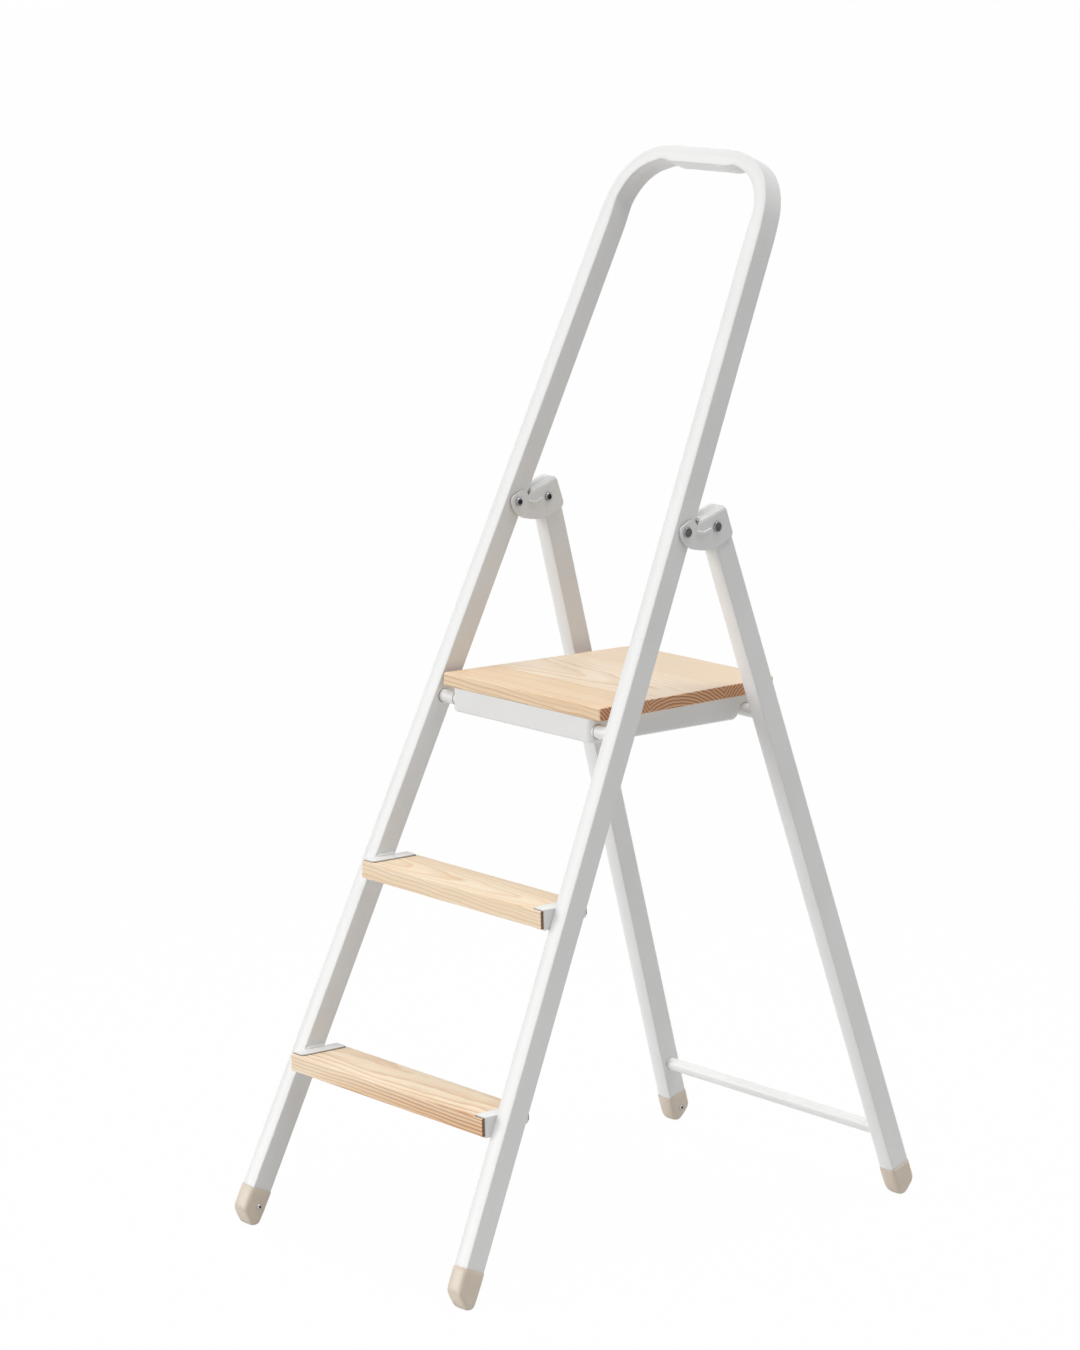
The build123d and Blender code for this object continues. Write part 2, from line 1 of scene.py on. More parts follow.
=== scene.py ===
# Looks of the folding stepladder: white powder-coated steel, pale wood, beige feet.
# Metres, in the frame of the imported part: front of the ladder towards -Y, Z up.
import json
import math
import bmesh
import bpy
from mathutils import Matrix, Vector

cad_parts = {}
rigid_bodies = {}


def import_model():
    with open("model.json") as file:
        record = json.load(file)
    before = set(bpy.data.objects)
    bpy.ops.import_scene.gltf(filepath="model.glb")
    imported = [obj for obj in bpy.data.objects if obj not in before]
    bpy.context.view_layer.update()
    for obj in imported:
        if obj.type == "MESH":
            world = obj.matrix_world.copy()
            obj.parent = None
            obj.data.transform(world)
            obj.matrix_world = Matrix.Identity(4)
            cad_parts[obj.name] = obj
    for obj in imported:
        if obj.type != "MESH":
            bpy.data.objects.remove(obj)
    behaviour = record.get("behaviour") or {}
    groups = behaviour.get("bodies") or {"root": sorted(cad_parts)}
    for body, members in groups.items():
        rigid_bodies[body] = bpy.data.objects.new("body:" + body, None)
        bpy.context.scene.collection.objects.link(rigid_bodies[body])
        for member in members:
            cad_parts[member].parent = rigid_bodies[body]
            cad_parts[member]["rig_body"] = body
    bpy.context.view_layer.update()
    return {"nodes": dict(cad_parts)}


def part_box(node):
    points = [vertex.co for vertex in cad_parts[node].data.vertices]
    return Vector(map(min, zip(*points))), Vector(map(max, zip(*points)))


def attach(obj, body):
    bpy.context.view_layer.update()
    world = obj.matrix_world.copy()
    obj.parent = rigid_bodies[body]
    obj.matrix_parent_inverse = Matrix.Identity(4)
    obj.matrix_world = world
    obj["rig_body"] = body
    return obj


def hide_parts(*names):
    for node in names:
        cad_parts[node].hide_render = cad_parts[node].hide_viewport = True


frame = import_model()
nodes = frame["nodes"]
scene = bpy.context.scene
scene.view_settings.view_transform = "Standard"


# Shader helpers; most of a noise lies between its low and high value,
# and a mix node has its colours at these places among its sockets
noise_low = 0.3
noise_high = 0.7
mix_first = 6
mix_second = 7
mix_result = 2


def srgb(red, green, blue):
    values = []
    for channel in (red, green, blue):
        share = channel / 255
        values.append(share / 12.92 if share < 0.04045 else ((share + 0.055) / 1.055) ** 2.4)
    return (values[0], values[1], values[2], 1)


def grey(value):
    return (value, value, value, 1)


class Shader:
    """A material with short ways to add and link its nodes."""

    def __init__(self, name):
        self.material = bpy.data.materials.new(name)
        self.material.use_nodes = True
        self.tree = self.material.node_tree
        self.surface = self.tree.nodes["Principled BSDF"]
        self.place = self.tree.nodes.new("ShaderNodeTexCoord").outputs["Object"]

    def link(self, source, target):
        if hasattr(source, "links"):
            self.tree.links.new(source, target)
        else:
            target.default_value = source

    def math(self, operation, first, second=0.0, third=0.0):
        node = self.tree.nodes.new("ShaderNodeMath")
        node.operation = operation
        for value, socket in zip((first, second, third), node.inputs):
            self.link(value, socket)
        return node.outputs[0]

    def scaled(self, factors, shift=(0, 0, 0)):
        node = self.tree.nodes.new("ShaderNodeMapping")
        self.link(self.place, node.inputs["Vector"])
        node.inputs["Scale"].default_value = factors
        node.inputs["Location"].default_value = shift
        return node.outputs[0]

    def noise(self, vector, scale=1.0, detail=2.0, rough=0.5):
        node = self.tree.nodes.new("ShaderNodeTexNoise")
        self.link(vector, node.inputs["Vector"])
        node.inputs["Scale"].default_value = scale
        node.inputs["Detail"].default_value = detail
        node.inputs["Roughness"].default_value = rough
        return node.outputs[0]

    def spread(self, value, low, high):
        node = self.tree.nodes.new("ShaderNodeMapRange")
        self.link(value, node.inputs["Value"])
        node.inputs["From Min"].default_value = noise_low
        node.inputs["From Max"].default_value = noise_high
        node.inputs["To Min"].default_value = low
        node.inputs["To Max"].default_value = high
        return node.outputs[0]

    def ramp(self, value, stops):
        node = self.tree.nodes.new("ShaderNodeValToRGB")
        self.link(value, node.inputs[0])
        points = node.color_ramp.elements
        while len(points) < len(stops):
            points.new(0.5)
        for point, (place, colour) in zip(points, stops):
            point.position = place
            point.color = colour
        return node.outputs[0]

    def two_tone(self, value, dark, light):
        return self.ramp(value, ((noise_low, dark), (noise_high, light)))

    def mix(self, share, first, second):
        node = self.tree.nodes.new("ShaderNodeMix")
        node.data_type = "RGBA"
        self.link(share, node.inputs["Factor"])
        self.link(first, node.inputs[mix_first])
        self.link(second, node.inputs[mix_second])
        return node.outputs[mix_result]

    def length(self, vector):
        node = self.tree.nodes.new("ShaderNodeVectorMath")
        node.operation = "LENGTH"
        self.link(vector, node.inputs[0])
        return node.outputs["Value"]

    def split(self, vector):
        node = self.tree.nodes.new("ShaderNodeSeparateXYZ")
        self.link(vector, node.inputs[0])
        return node.outputs

    def bump(self, height, distance, strength):
        node = self.tree.nodes.new("ShaderNodeBump")
        self.link(height, node.inputs["Height"])
        node.inputs["Distance"].default_value = distance
        node.inputs["Strength"].default_value = strength
        self.link(node.outputs[0], self.surface.inputs["Normal"])

    def set(self, **values):
        for name, value in values.items():
            self.link(value, self.surface.inputs[name.replace("_", " ")])


def painted_steel():
    paint = Shader("white_powder_coat")
    cloud = paint.noise(paint.place, scale=9.0, detail=3.0)
    peel = paint.noise(paint.place, scale=1400.0)
    paint.set(Base_Color=paint.ramp(cloud, ((0.35, srgb(236, 236, 235)), (0.7, srgb(241, 241, 240)))))
    paint.set(Roughness=paint.spread(cloud, low=0.3, high=0.38))
    paint.bump(peel, distance=0.00004, strength=0.5)
    return paint.material


def foot_beige():
    shader = Shader("beige_foot_plastic")
    cloud = shader.noise(shader.place, scale=30.0, detail=3.0)
    grain = shader.noise(shader.place, scale=2500.0)
    shader.set(Base_Color=shader.two_tone(cloud, srgb(212, 197, 178), srgb(219, 206, 189)))
    shader.set(Roughness=shader.spread(cloud, low=0.42, high=0.54))
    shader.set(Specular_IOR_Level=1.0)
    shader.bump(grain, distance=0.00006, strength=0.5)
    return shader.material


def metal(name, dark, light, smooth, dull):
    shader = Shader(name)
    cloud = shader.noise(shader.place, scale=220.0, detail=3.0)
    scratch = shader.noise(shader.scaled((300, 4000, 4000)))
    shader.set(Metallic=1.0)
    shader.set(Base_Color=shader.two_tone(cloud, dark, light))
    shader.set(Roughness=shader.spread(cloud, smooth, dull))
    shader.bump(scratch, distance=0.00002, strength=0.4)
    return shader.material


# Materials of painted shade, for gaps and recesses that lie in shadow
def shadow_gap(name, dark, light):
    shader = Shader(name)
    cloud = shader.noise(shader.place, scale=400.0)
    shader.set(Base_Color=shader.two_tone(cloud, dark, light))
    shader.set(Roughness=0.8)
    return shader.material


# Wood: strength of the line across one year, colours of the ends, and how far the rings wander
line_steps = ((0.0, grey(0)), (0.35, grey(0.06)), (0.72, grey(0.55)), (0.86, grey(1)), (1.0, grey(0)))
end_steps = (
    (0.0, srgb(244, 196, 154)),
    (0.4, srgb(222, 168, 124)),
    (0.85, srgb(136, 78, 44)),
    (1.0, srgb(226, 174, 132)),
)
pore_brown = srgb(180, 124, 86)
end_shadow = srgb(64, 38, 24)
end_facing = 0.7
wave_reach = 0.026
flow_reach = 0.006
faintest_year = 0.35
stave_tint = 0.7
stave_line_loss = 0.42
heart_fade = 0.7
heart_line_gain = 0.9


def wood(name, pith, tilt, spacing, tones, heart=None, joints=(), end_shade=0.0):
    """Rings about a long axis near the board; pith is its place in y and z, tilt its drift along x.
    Tones are the pale, warm and late wood; heart is a place and reach where the wood turns brown.
    Staves beyond each joint, a place in y, take their rings from another part of the log.
    End shade is the share of shadow on the ends."""
    pale, warm, late = tones
    shader = Shader(name)
    x, y, z = shader.split(shader.place)
    side = shader.math("SUBTRACT", y, pith[0])
    rise = shader.math("SUBTRACT", z, pith[1])
    tinted = []
    for place, side_shift, rise_shift, tint in joints:
        past = shader.math("GREATER_THAN", y, place)
        tinted.append((past, tint))
        side = shader.math("MULTIPLY_ADD", past, side_shift, side)
        rise = shader.math("MULTIPLY_ADD", past, rise_shift, rise)
    wave = shader.noise(shader.scaled((3.5, 11, 11)))
    flow = shader.noise(shader.scaled((11, 40, 40)))
    side = shader.math("MULTIPLY_ADD", x, tilt[0], side)
    side = shader.math("MULTIPLY_ADD", wave, wave_reach, side)
    rise = shader.math("MULTIPLY_ADD", x, tilt[1], rise)
    rise = shader.math("MULTIPLY_ADD", flow, flow_reach, rise)
    square = shader.math("ADD", shader.math("MULTIPLY", side, side), shader.math("MULTIPLY", rise, rise))
    reach = shader.math("DIVIDE", shader.math("SQRT", square), spacing)
    ring = shader.math("FRACT", reach)
    year = shader.tree.nodes.new("ShaderNodeTexWhiteNoise")
    year.noise_dimensions = "1D"
    shader.link(shader.math("FLOOR", reach), year.inputs["W"])
    line = shader.ramp(ring, line_steps)
    year_strength = shader.math("MULTIPLY_ADD", year.outputs[0], 1 - faintest_year, faintest_year)
    line = shader.math("MULTIPLY", line, year_strength)
    streak = shader.noise(shader.scaled((5, 60, 60)), detail=3.0, rough=0.6)
    fibre = shader.noise(shader.scaled((16, 900, 900)), detail=3.0, rough=0.6)
    body = shader.mix(shader.spread(streak, 0.0, 1.0), pale, warm)
    body = shader.mix(shader.spread(fibre, 0.0, 0.2), body, warm)
    for past, tint in tinted:
        body = shader.mix(shader.math("MULTIPLY", past, stave_tint), body, tint)
        line = shader.math("MULTIPLY", line, shader.math("MULTIPLY_ADD", past, -stave_line_loss, 1.0))
    if heart:
        centre, size, brown, dark = heart
        shift = [-place / extent for place, extent in zip(centre, size)]
        away = shader.length(shader.scaled([1 / extent for extent in size], shift))
        share = shader.math("SUBTRACT", 1.0, away)
        share = shader.math("MAXIMUM", share, 0.0)
        share = shader.math("POWER", share, heart_fade)
        body = shader.mix(share, body, brown)
        late = shader.mix(share, late, dark)
        line = shader.math("MULTIPLY_ADD", share, shader.math("MULTIPLY", line, heart_line_gain), line)
    body = shader.mix(line, body, late)
    facing = shader.tree.nodes.new("ShaderNodeTexCoord").outputs["Normal"]
    end = shader.math("ABSOLUTE", shader.split(facing)[0])
    end = shader.math("GREATER_THAN", end, end_facing)
    pores = shader.noise(shader.place, scale=1500.0, detail=3.0)
    across = shader.ramp(ring, end_steps)
    across = shader.mix(shader.spread(pores, 0.0, 0.3), across, pore_brown)
    across = shader.mix(end_shade, across, end_shadow)
    shader.set(Base_Color=shader.mix(end, body, across))
    shader.set(Roughness=shader.spread(fibre, low=0.42, high=0.55))
    shader.bump(fibre, distance=0.00005, strength=0.5)
    return shader.material


steel = painted_steel()
foot_plastic = foot_beige()
# The disc metal is darkened to paint the dark surroundings that the discs reflect
disc_dark_reflection_steel = metal("disc_painted_dark_reflection", srgb(74, 75, 72), srgb(94, 95, 92), 0.22, 0.34)
bright_steel = metal("bright_screw", srgb(176, 176, 176), srgb(204, 204, 203), 0.2, 0.32)
screw_metal = metal("screw_zinc", srgb(128, 130, 132), srgb(158, 160, 162), 0.16, 0.26)
# Painted shade in the screws' recesses and seats, and round the pivot bar where it passes through the rails
# and the pan
recess = shadow_gap("painted_gap_shade", srgb(40, 38, 36), srgb(62, 59, 56))
# Painted shadow for the strips beside the tread flanges
seam_shadow = shadow_gap("seam_shadow", srgb(52, 34, 24), srgb(70, 48, 34))
# Painted soft shadow for the rings at the crossbar's ends
soft_shadow_paint = shadow_gap("soft_shadow_paint", srgb(198, 197, 195), srgb(212, 211, 209))

# Pale, warm and late tones of the three boards, the staves of the platform and the brown heart
tread_end_shade = 0.6
golden = (srgb(247, 226, 195), srgb(240, 210, 172), srgb(210, 161, 112))
cream = (srgb(253, 237, 212), srgb(246, 223, 190), srgb(229, 188, 142))
rosy = (srgb(254, 239, 214), srgb(250, 226, 194), srgb(214, 164, 116))
staves = ((-0.015, -0.235, 0.0, srgb(249, 233, 212)), (0.118, -0.205, 0.0, srgb(238, 212, 182)))
dark_streak = ((0.19, -0.332, 0.202), (0.36, 0.045, 0.03), srgb(232, 187, 140), srgb(154, 87, 48))
platform_wood = wood("platform_wood", (-0.19, 0.6), (0.015, 0.035), 0.0044, golden, joints=staves)
upper_wood = wood(
    "upper_tread_wood",
    (-0.178, 0.424),
    (0.02, 0.045),
    0.0044,
    cream,
    end_shade=tread_end_shade,
)
lower_wood = wood(
    "lower_tread_wood",
    (-0.245, 0.085),
    (0.012, 0.016),
    0.0042,
    rosy,
    dark_streak,
    end_shade=tread_end_shade,
)

# Helpers for the pieces; edges beyond the crease angle stay sharp,
# and edges of the solids beyond the roll angle are rolled over
crease = math.radians(38)
roll_angle = math.radians(32)
flat_angle = math.radians(0.8)
same_place = 0.000001


def smooth_step(low, high, value):
    share = min(max((value - low) / (high - low), 0), 1)
    return share * share * (3 - 2 * share)


def new_mesh(name, shape):
    mesh = bpy.data.meshes.new(name)
    shape.to_mesh(mesh)
    shape.free()
    return mesh


def smooth_faces(mesh):
    mesh.shade_smooth()
    mesh.set_sharp_from_angle(angle=crease)


def add_piece(name, shape, finish, body, stands_for=()):
    mesh = new_mesh(name, shape)
    smooth_faces(mesh)
    mesh.materials.append(finish)
    piece = bpy.data.objects.new(name, mesh)
    scene.collection.objects.link(piece)
    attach(piece, body)
    if stands_for:
        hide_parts(*stands_for)
    return piece


def loft(shape, rings):
    """A closed skin over rings of points, with flat caps at both ends."""
    rows = []
    for ring in rings:
        rows.append([shape.verts.new(point) for point in ring])
    count = len(rows[0])
    for first, second in zip(rows, rows[1:]):
        for index in range(count):
            after = (index + 1) % count
            shape.faces.new((first[index], first[after], second[after], second[index]))
    shape.faces.new(list(reversed(rows[0])))
    shape.faces.new(rows[-1])
    bmesh.ops.recalc_face_normals(shape, faces=shape.faces)


def turned_ring(place, axis, radius, outline, turns):
    """Points round an axis; outline gives the share of the radius at each angle."""
    first = axis.orthogonal().normalized()
    second = axis.cross(first)
    ring = []
    for turn in range(turns):
        angle = 2 * math.pi * turn / turns
        reach = radius * outline(angle)
        ring.append(place + (first * math.cos(angle) + second * math.sin(angle)) * reach)
    return ring


def rounded_end(step, count, run, least):
    """Share of the full size at a step of a bead whose ends are rounded over a run of steps."""
    share = min(min(step, count - 1 - step) / run, 1)
    return math.sqrt(max(1 - (1 - share) ** 2, least))


def softened(node, finish, width):
    """A copy of a CAD node with its sharp edges rolled over, in place of the node."""
    shape = bmesh.new()
    shape.from_mesh(nodes[node].data)
    bmesh.ops.remove_doubles(shape, verts=shape.verts, dist=same_place)
    bmesh.ops.dissolve_limit(shape, angle_limit=flat_angle, verts=shape.verts, edges=shape.edges)
    sharp = []
    for edge in shape.edges:
        if edge.is_manifold and edge.calc_face_angle() > roll_angle:
            sharp.append(edge)
    bmesh.ops.bevel(
        shape,
        geom=sharp,
        offset=width,
        offset_type="OFFSET",
        segments=2,
        profile=0.5,
        affect="EDGES",
        clamp_overlap=True,
    )
    piece = add_piece(node + "_soft", shape, finish, nodes[node]["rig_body"], (node,))
    weights = piece.modifiers.new("even_normals", "WEIGHTED_NORMAL")
    weights.keep_sharp = True


def carve(piece, tool_shape):
    """Cuts a closed tool shape out of a piece."""
    tool = bpy.data.objects.new("carving_tool", new_mesh("carving_tool", tool_shape))
    scene.collection.objects.link(tool)
    cut = piece.modifiers.new("cut", "BOOLEAN")
    cut.operation = "DIFFERENCE"
    cut.object = tool
    bpy.context.view_layer.update()
    result = bpy.data.meshes.new_from_object(piece.evaluated_get(bpy.context.evaluated_depsgraph_get()))
    piece.modifiers.remove(cut)
    piece.data = result
    bpy.data.objects.remove(tool)
    smooth_faces(result)


# Front frame: the tube keeps its section on the rails, is squeezed in the bends,
# pinched where the bends meet the grip, and swells a little under the hand
front_lean = math.radians(23.67)
rail_up = Vector((0, math.sin(front_lean), math.cos(front_lean)))
rail_back = Vector((0, math.cos(front_lean), -math.sin(front_lean)))
rail_foot = Vector((0, -0.3852, 0))
rail_half_width = 0.2204
rail_taper = 0.0558
tube_end = 0.026
frame_top = 1.493
bend_radius = 0.075
tube_half_width = 0.01225
tube_half_depth = 0.0146
tube_crown = 0.0017
tube_corner = 0.0009
outer_squeeze = 0.0032
inner_squeeze = 0.0012
inner_dent = 0.0022
grip_slimming = 0.0012
grip_swell = 0.0016
pinch_depth = 0.0026
pinch_reach = 0.011
pinch_shift = 0.002
low_pinch_share = 0.5
low_pinch_spread = 1.5
bend_entry = 0.03
bend_exit = 0.02
grip_entry = 0.035
rail_stations = (0, 0.2, 0.4, 0.6, 0.8, 1.0, 1.2)
close_stations_from = 1.25
close_steps = 30
bend_steps = 36
grip_steps = 40
corner_steps = 4
crown_steps = 12
wall_steps = 8
bar_hole_radius = 0.0093
bar_hole_reach = 0.172
bar_hole_turns = 48


def tube_section():
    """Outline of the tube, corner by corner: across the frame, then from front to back."""
    points = []
    for turn in range(4):
        middle = math.radians(45 + 90 * turn)
        across = math.copysign(tube_half_width - tube_corner, math.cos(middle))
        depth = math.copysign(tube_half_depth - tube_corner, math.sin(middle))
        for step in range(corner_steps + 1):
            angle = middle + math.radians(-45 + 90 * step / corner_steps)
            points.append((across + tube_corner * math.cos(angle), depth + tube_corner * math.sin(angle)))
        if turn == 0 or turn == 2:
            side = 1 if turn == 0 else -1
            for step in range(1, crown_steps):
                share = 1 - 2 * step / crown_steps
                points.append((side * share * (tube_half_width - tube_corner), side * tube_half_depth))
        else:
            side = -1 if turn == 1 else 1
            for step in range(1, wall_steps):
                share = 1 - 2 * step / wall_steps
                points.append((side * tube_half_width, -side * share * (tube_half_depth - tube_corner)))
    crowned = []
    for across, depth in points:
        lift = tube_crown * (1 - (across / tube_half_width) ** 2)
        crowned.append((across, depth + math.copysign(lift, depth) * abs(depth / tube_half_depth)))
    return crowned


def frame_stations():
    """Points and directions along the bent centre line, from the left foot to the right one,
    and how far along it the first bend starts, ends, and the grip has its middle."""
    corner_x = rail_half_width - rail_taper * frame_top
    corner = Vector((-corner_x, frame_top))
    foot = Vector((-(rail_half_width - rail_taper * tube_end), tube_end))
    climb = (corner - foot).normalized()
    turn = math.acos(climb.x)
    setback = bend_radius * math.tan(turn / 2)
    rise_end = corner - climb * setback
    centre = rise_end + Vector((climb.y, -climb.x)) * bend_radius
    half = []
    length = (rise_end - foot).length
    for along in rail_stations:
        half.append((foot + climb * along, climb))
    for step in range(close_steps):
        along = close_stations_from + (length - close_stations_from) * step / close_steps
        half.append((foot + climb * along, climb))
    for step in range(bend_steps + 1):
        angle = turn * step / bend_steps
        heading = Vector((math.cos(turn - angle), math.sin(turn - angle)))
        half.append((centre + Vector((-heading.y, heading.x)) * bend_radius, heading))
    grip_start = corner.x + setback
    for step in range(1, grip_steps + 1):
        half.append((Vector((grip_start * (1 - step / grip_steps), frame_top)), Vector((1, 0))))
    whole = list(half)
    for point, heading in reversed(half[:-1]):
        whole.append((Vector((-point.x, point.y)), Vector((heading.x, -heading.y))))
    bend_finish = length + bend_radius * turn
    return whole, length, bend_finish, bend_finish - grip_start


def front_frame():
    stations, bend_start, bend_finish, middle = frame_stations()
    section = tube_section()
    rings = []
    along = 0.0
    before = stations[0][0]
    for point, heading in stations:
        along += (point - before).length
        before = point
        place = along if along < middle else 2 * middle - along
        bend = smooth_step(bend_start - bend_entry, bend_start + bend_entry, place)
        bend *= 1 - smooth_step(bend_finish - bend_exit, bend_finish + bend_entry, place)
        grip = smooth_step(bend_finish, bend_finish + grip_entry, place)
        pinch = math.exp(-(((place - bend_finish + pinch_shift) / pinch_reach) ** 2))
        low_reach = low_pinch_spread * pinch_reach
        pinch += low_pinch_share * math.exp(-(((place - bend_start) / low_reach) ** 2))
        outwards = Vector((-heading.y, heading.x))
        ring = []
        for across, depth in section:
            share = across / tube_half_width
            if share > 0:
                moved = across - share * (outer_squeeze * bend + grip_slimming * grip)
            else:
                moved = across - share * (inner_squeeze * bend + grip_slimming * grip + pinch_depth * pinch)
                hollow = math.cos(math.pi / 2 * min(abs(depth / tube_half_depth), 1)) ** 2
                moved += (inner_dent * bend - grip_swell * grip) * hollow * share ** 4
            flat = point + outwards * moved
            ring.append(rail_foot + Vector((flat.x, 0, 0)) + rail_up * flat.y + rail_back * depth)
        rings.append(ring)
    shape = bmesh.new()
    loft(shape, rings)
    tube = add_piece("front_frame_bent_tube", shape, steel, "front", ("front_frame_tube",))
    hole = bmesh.new()
    ends = []
    for x in (-bar_hole_reach, bar_hole_reach):
        ring = []
        for turn in range(bar_hole_turns):
            angle = 2 * math.pi * turn / bar_hole_turns
            y = pivot_y + bar_hole_radius * math.cos(angle)
            z = pivot_z + bar_hole_radius * math.sin(angle)
            ring.append(Vector((x, y, z)))
        ends.append(ring)
    loft(hole, ends)
    carve(tube, hole)


pivot_low, pivot_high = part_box("platform_pivot_bar")
pivot_y = (pivot_low.y + pivot_high.y) / 2
pivot_z = (pivot_low.z + pivot_high.z) / 2
front_frame()

# Brackets, pan and boards: the solids with rolled edges
for side in ("left", "right"):
    softened("hinge_bracket_" + side, steel, 0.0005)
    softened("lower_tread_bracket_" + side, steel, 0.0006)
    softened("upper_tread_bracket_" + side, steel, 0.0006)
softened("platform_pan", steel, 0.0005)
softened("platform_board", platform_wood, 0.0007)
softened("upper_tread_board", upper_wood, 0.0009)
softened("lower_tread_board", lower_wood, 0.0009)

# Feet and rear legs: rounded cups over the tube ends; the toes of the front ones have fine ribs
foot_wall = 0.00175
foot_fit = 0.0005
rear_lean = math.radians(17.924)
rear_up = Vector((0, -math.sin(rear_lean), math.cos(rear_lean)))
rear_back = Vector((0, math.cos(rear_lean), math.sin(rear_lean)))
rear_foot_place = Vector((0, 0.3782, 0))
rear_half_width = 0.22357
rear_taper = 0.0611
rear_leg_top = 0.9832
front_foot_form = {
    "tube_end": tube_end,
    "roundness": 0.002,
    "height": 0.052,
    "sole": (0.004, 0.0185),
    "toe_rise": 0.025,
    "heel_rise": 0.0075,
    "cup_steps": 64,
}
rear_foot_form = {
    "tube_end": 0.024,
    "roundness": 0.0028,
    "height": 0.0425,
    "sole": (-0.0165, -0.0035),
    "toe_rise": 0.0025,
    "heel_rise": 0.0206,
    "cup_steps": 26,
}
rib_pitch = 0.0022
rib_depth = 0.0005
rib_start = (0.001, 0.004)
cup_softness = 0.0019
cup_blend = (0.004, 0.026)
socket_softness = 0.0004
cup_turns = 72
cup_rim = 0.0007
cup_overlap = 0.001
lowest = 0.00005
search_reach = 0.06
search_steps = 22
steepest = 40


class LegFrame:
    """Base, directions and foot sizes of one leg."""

    def __init__(self, side, front):
        slope = math.atan(rail_taper if front else rear_taper)
        up = rail_up if front else rear_up
        sideways = Vector((1, 0, 0))
        self.front = front
        self.body = "front" if front else "rear"
        self.lean = front_lean if front else -rear_lean
        self.back = rail_back if front else rear_back
        self.across = sideways * math.cos(slope) + up * (side * math.sin(slope))
        self.along = up * math.cos(slope) - sideways * (side * math.sin(slope))
        start = rail_foot if front else rear_foot_place
        self.base = start + sideways * (side * (rail_half_width if front else rear_half_width))
        self.inward = self.across * -side
        form = front_foot_form if front else rear_foot_form
        self.tube_end = form["tube_end"]
        self.roundness = form["roundness"]
        self.height = form["height"]
        self.sole = form["sole"]
        self.toe_rise = form["toe_rise"]
        self.heel_rise = form["heel_rise"]
        self.cup_steps = form["cup_steps"]

    def slant(self, side, rise, sole):
        """Foot point and outward normal of the toe cut (side -1) or the heel cut (side 1)."""
        reach = (tube_half_depth + tube_crown + foot_wall) / math.cos(self.lean)
        y = self.base.y + side * reach + rise * math.tan(self.lean)
        low = Vector((0, self.base.y + sole, 0))
        run = Vector((0, y, rise)) - low
        normal = Vector((0, side * run.z, -side * run.y)).normalized()
        return low, normal


def tube_gap(leg, point, grow):
    """Distances of a point outside the four walls of a leg's tube, grown by a wall."""
    away = point - leg.base
    across = away.dot(leg.across)
    depth = away.dot(leg.back)
    crown = tube_crown * max(1 - (across / tube_half_width) ** 2, 0)
    wide = tube_half_width + grow
    deep = tube_half_depth + crown + grow
    return [across - wide, -across - wide, depth - deep, -depth - deep]


def blend(gaps, softness):
    """The largest of several distances, with rounded changes from one to the next."""
    total = 0.0
    for gap in gaps:
        total += math.exp(min(gap / softness, steepest))
    return softness * math.log(total)


def surface_point(start, heading, gap_at):
    """Where a ray from inside a rounded shape comes out of it."""
    near = 0.0
    far = search_reach
    for step in range(search_steps):
        middle = (near + far) / 2
        if gap_at(start + heading * middle) > 0:
            far = middle
        else:
            near = middle
    return start + heading * near


def foot(name, leg, stands_for):
    """A rounded cup with slanted toe and heel that stands on the floor and has a socket for the tube."""
    toe_low, toe_normal = leg.slant(-1, leg.toe_rise, leg.sole[0])
    heel_low, heel_normal = leg.slant(1, leg.heel_rise, leg.sole[1])
    floor_gap = [0.0]
    middle = leg.base + leg.along * (leg.tube_end - cup_overlap)
    pole = (Vector((middle.x, leg.base.y + sum(leg.sole) / 2, 0)) - middle).normalized()

    def outside(point):
        low = (point - toe_low).dot(toe_normal)
        rear = (point - heel_low).dot(heel_normal)
        gaps = tube_gap(leg, point, foot_wall) + [low, rear, -point.z - floor_gap[0]]
        share = smooth_step(*cup_blend, point.z)
        softness = leg.roundness * (1 - share) + cup_softness * share
        gap = blend(gaps, softness)
        if leg.front:
            share = math.exp(min((low - gap) / softness, 0))
            wave = 0.5 + 0.5 * math.cos(2 * math.pi * point.z / rib_pitch)
            gap += rib_depth * wave * share * smooth_step(*rib_start, point.z)
        return gap

    def inside(point):
        return blend(tube_gap(leg, point, foot_fit), socket_softness)

    for settling in range(3):
        floor_gap[0] += surface_point(middle, pole, outside).z
    headings = []
    for turn in range(cup_turns):
        angle = 2 * math.pi * turn / cup_turns
        headings.append(leg.across * math.cos(angle) + leg.back * math.sin(angle))
    rings = []
    for step in range(leg.cup_steps - 1, 0, -1):
        tip = math.pi / 2 * step / leg.cup_steps
        ring = []
        for heading in headings:
            ray = (heading * math.cos(tip) + pole * math.sin(tip)).normalized()
            spot = surface_point(middle, ray, outside)
            spot.z = max(spot.z, lowest)
            ring.append(spot)
        rings.append(ring)
    rise = leg.height - leg.tube_end + cup_overlap
    for level, drop in ((0, 0), (0.35, 0), (0.7, 0), (1, -cup_rim), (1, -0.3 * cup_rim), (1, 0)):
        lift = middle + leg.along * (rise * level + drop)
        inset = cup_rim * (1 + drop / cup_rim) ** 2 if level == 1 else 0
        ring = []
        for heading in headings:
            spot = surface_point(lift, heading, outside)
            ring.append(spot - heading * inset)
        rings.append(ring)
    for level in (1, 0.02):
        lift = middle + leg.along * (rise * level)
        rings.append([surface_point(lift, heading, inside) for heading in headings])
    shape = bmesh.new()
    loft(shape, rings)
    add_piece(name, shape, foot_plastic, leg.body, (stands_for,))


def straight_leg(name, leg, stands_for):
    rings = []
    for level in (leg.tube_end, 0.3, 0.6, rear_leg_top):
        spot = leg.base + leg.along * level
        rings.append([spot + leg.across * across + leg.back * depth for across, depth in tube_section()])
    shape = bmesh.new()
    loft(shape, rings)
    add_piece(name, shape, steel, "rear", (stands_for,))


